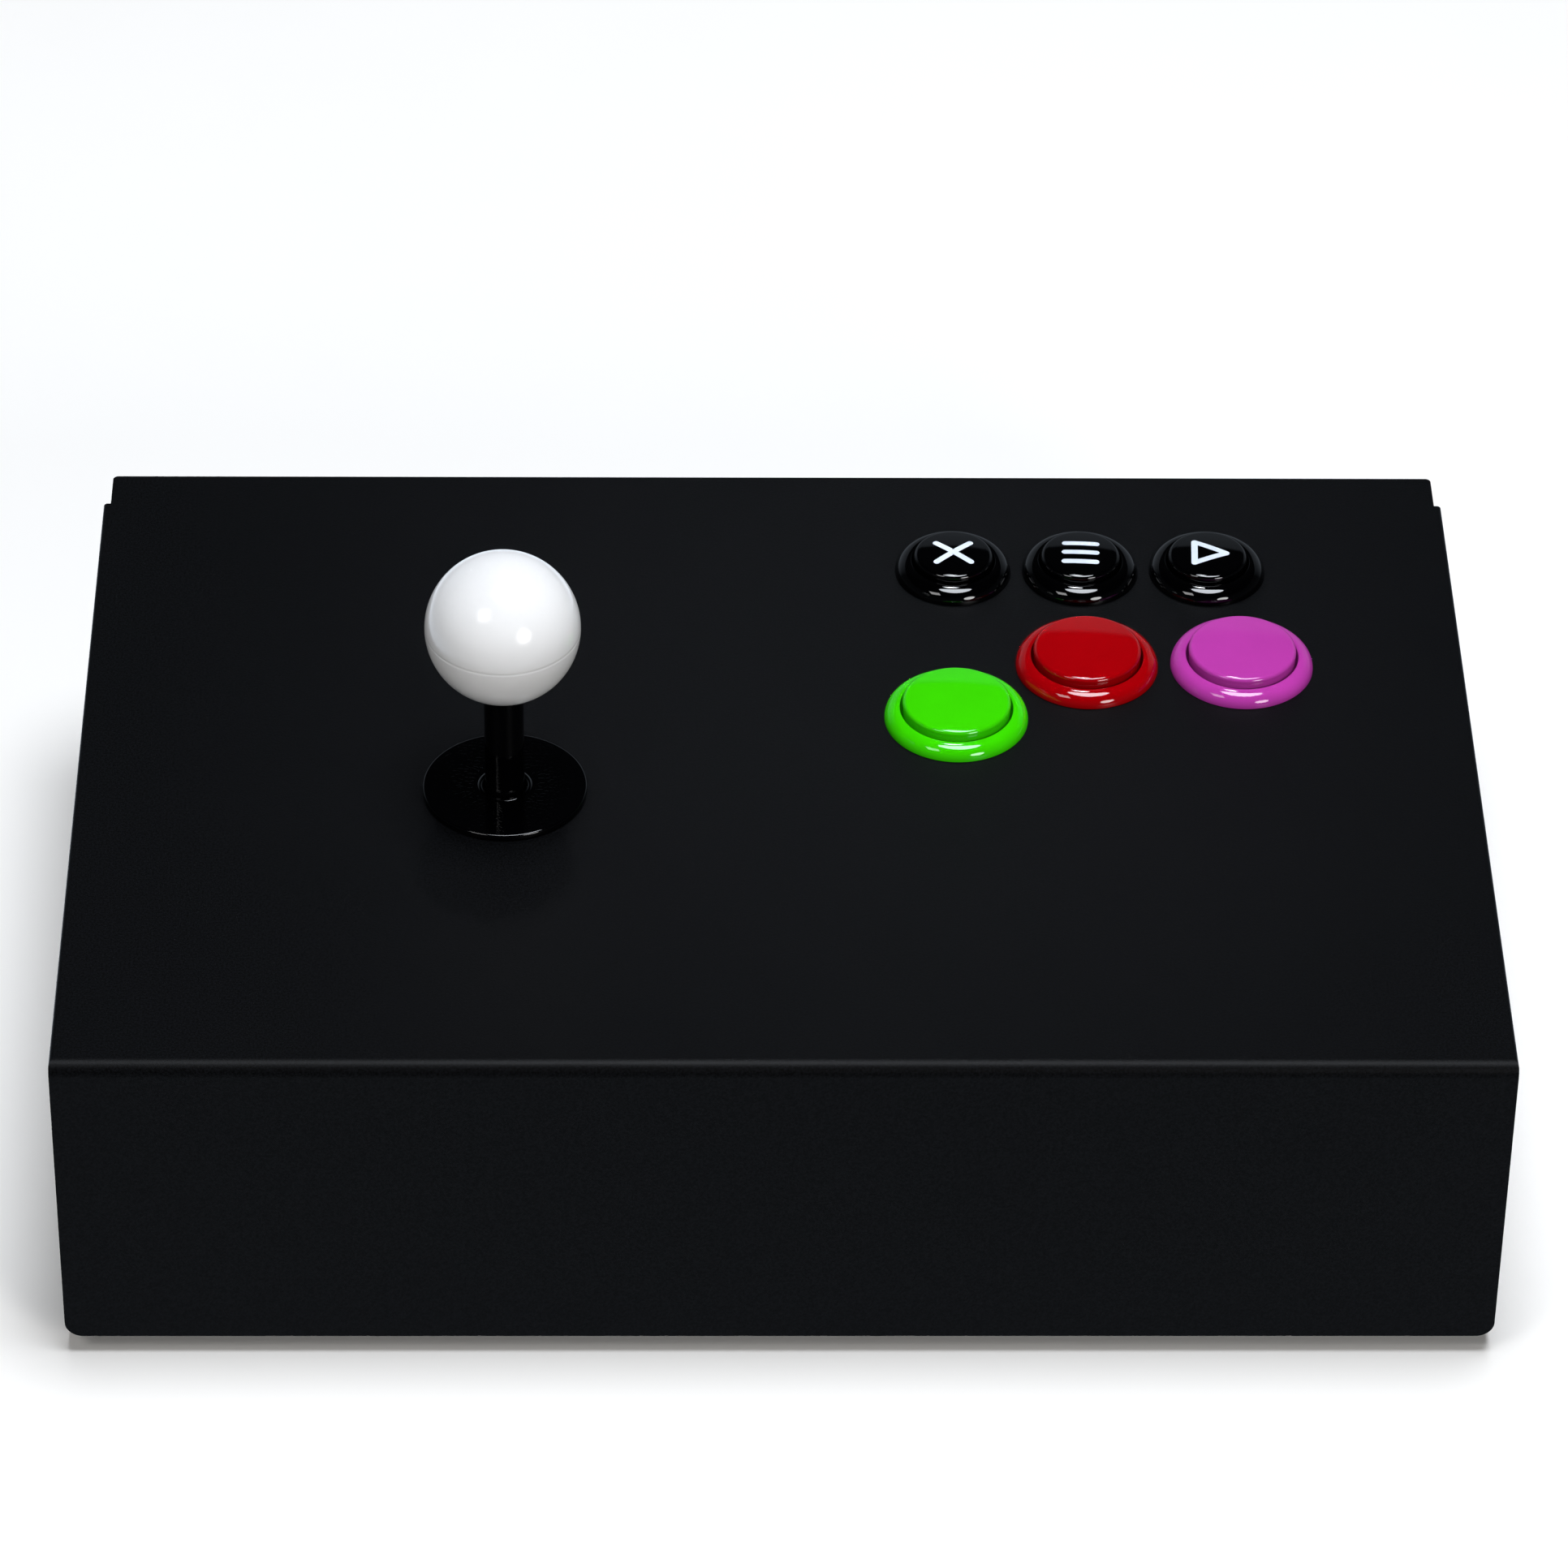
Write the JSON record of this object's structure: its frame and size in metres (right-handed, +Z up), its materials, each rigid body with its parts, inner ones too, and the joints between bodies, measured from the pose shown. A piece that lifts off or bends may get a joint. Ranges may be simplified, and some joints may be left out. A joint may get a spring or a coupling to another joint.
{
  "type": "arcade control deck",
  "caption": "Low black sheet-steel arcade control deck with a white ball-top lever, coloured snap-in push buttons and marked function buttons, standing on rubber feet.",
  "frame": {"origin": "centre of the footprint, on the surface that the feet stand on", "axes": "+X to the player's right, +Y away from the player, +Z up"},
  "size_m": [0.32, 0.2166, 0.1485],
  "materials": {
    "powder_coat": "fine-textured satin powder coat",
    "tray_coat": "fine-textured satin powder coat",
    "zinc": "bright zinc plate",
    "black_zinc": "black zinc plate",
    "copper_flash": "copper-flashed weld studs",
    "shaft_steel": "ground and plated",
    "spring_steel": "bright spring wire",
    "brass": "turned brass",
    "foot_rubber": "matt moulded rubber",
    "white_ball": "polished, glossy",
    "green_plastic": "glossy moulded plastic",
    "red_plastic": "glossy moulded plastic",
    "magenta_plastic": "glossy moulded plastic",
    "black_button": "glossy moulded plastic",
    "tube_plastic": "satin-gloss extruded plastic",
    "washer_plastic": "grained top face with a smooth rim",
    "black_nylon": "moulded nylon",
    "white_nylon": "moulded acetal",
    "board": "solder-masked glass laminate",
    "switch_black": "moulded phenolic",
    "header_ivory": "moulded nylon",
    "socket_steel": "plated steel shell",
    "lead_jacket": "flexible vinyl jacket"
  },
  "bodies": {
    "case": {"top_cover": "powder_coat", "base_tray": "tray_coat", "rubber_feet": "foot_rubber", "foot_screws": "zinc", "foot_nuts": "zinc", "cover_screws": "black_zinc", "cover_rivet_nuts": "zinc", "weld_studs": "copper_flash", "stud_nuts": "zinc", "mount_plate": "zinc", "plate_screws": "zinc", "lever_housing": "black_nylon", "pivot_retainer": "white_nylon", "switch_board": "board", "lever_switches": "switch_black", "lever_connector": "header_ivory", "gate": "black_nylon", "gate_screws": "zinc", "button_switches": "switch_black", "encoder_board": "board", "board_standoffs": "brass", "board_screws": "zinc", "board_connectors": "header_ivory", "usb_socket": "socket_steel", "usb_screws": "black_zinc", "lever_lead": "lead_jacket", "button_leads": "lead_jacket", "usb_lead": "lead_jacket", "green_housing": "green_plastic", "green_spring": "spring_steel", "red_housing": "red_plastic", "red_spring": "spring_steel", "magenta_housing": "magenta_plastic", "magenta_spring": "spring_steel", "cross_housing": "black_button", "cross_spring": "spring_steel", "menu_housing": "black_button", "menu_spring": "spring_steel", "play_housing": "black_button", "play_spring": "spring_steel"},
    "liner": {"bearing_liner": "white_nylon"},
    "lever": {"lever_shaft": "shaft_steel", "pivot_ball": "black_nylon", "shaft_cover": "tube_plastic", "ball_top": "white_ball", "lever_spring": "spring_steel", "spring_seat": "white_nylon", "actuator": "white_nylon", "e_clip": "spring_steel"},
    "glide": {"glide_ring": "black_nylon"},
    "washer": {"dust_washer": "washer_plastic"},
    "green_button": {"green_plunger": "green_plastic"},
    "red_button": {"red_plunger": "red_plastic"},
    "magenta_button": {"magenta_plunger": "magenta_plastic"},
    "cross_button": {"cross_plunger": "black_button"},
    "menu_button": {"menu_plunger": "black_button"},
    "play_button": {"play_plunger": "black_button"}
  },
  "joints": [
    {"name": "tilt_x", "type": "hinge", "parent": "case", "child": "liner", "pos_m": [-0.0624, -0.012, 0.0665], "axis": [1, 0, 0], "range_deg": [-9, 9], "stiffness_Nm_per_rad": 0.5},
    {"name": "tilt_y", "type": "hinge", "parent": "liner", "child": "lever", "pos_m": [-0.0624, -0.012, 0.0665], "axis": [0, 1, 0], "range_deg": [-9, 9], "stiffness_Nm_per_rad": 0.5, "deforming": ["lever_spring"]},
    {"name": "washer_slide_y", "type": "slide", "parent": "case", "child": "glide", "axis": [0, 1, 0], "range_m": [-0.0031, 0.0031]},
    {"name": "washer_slide_x", "type": "slide", "parent": "glide", "child": "washer", "axis": [1, 0, 0], "range_m": [-0.0031, 0.0031]},
    {"name": "green_press", "type": "slide", "parent": "case", "child": "green_button", "axis": [0, 0, -1], "range_m": [0, 0.0025], "stiffness_N_per_m": 300, "springref_m": -0.001, "deforming": ["green_spring"]},
    {"name": "red_press", "type": "slide", "parent": "case", "child": "red_button", "axis": [0, 0, -1], "range_m": [0, 0.0025], "stiffness_N_per_m": 300, "springref_m": -0.001, "deforming": ["red_spring"]},
    {"name": "magenta_press", "type": "slide", "parent": "case", "child": "magenta_button", "axis": [0, 0, -1], "range_m": [0, 0.0025], "stiffness_N_per_m": 300, "springref_m": -0.001, "deforming": ["magenta_spring"]},
    {"name": "cross_press", "type": "slide", "parent": "case", "child": "cross_button", "axis": [0, 0, -1], "range_m": [0, 0.0025], "stiffness_N_per_m": 300, "springref_m": -0.001, "deforming": ["cross_spring"]},
    {"name": "menu_press", "type": "slide", "parent": "case", "child": "menu_button", "axis": [0, 0, -1], "range_m": [0, 0.0025], "stiffness_N_per_m": 300, "springref_m": -0.001, "deforming": ["menu_spring"]},
    {"name": "play_press", "type": "slide", "parent": "case", "child": "play_button", "axis": [0, 0, -1], "range_m": [0, 0.0025], "stiffness_N_per_m": 300, "springref_m": -0.001, "deforming": ["play_spring"]}
  ],
  "couplings": [
    {"joint": "washer_slide_y", "follows": "tilt_x", "m_per_rad": -0.01915},
    {"joint": "washer_slide_x", "follows": "tilt_y", "m_per_rad": 0.01915}
  ]
}
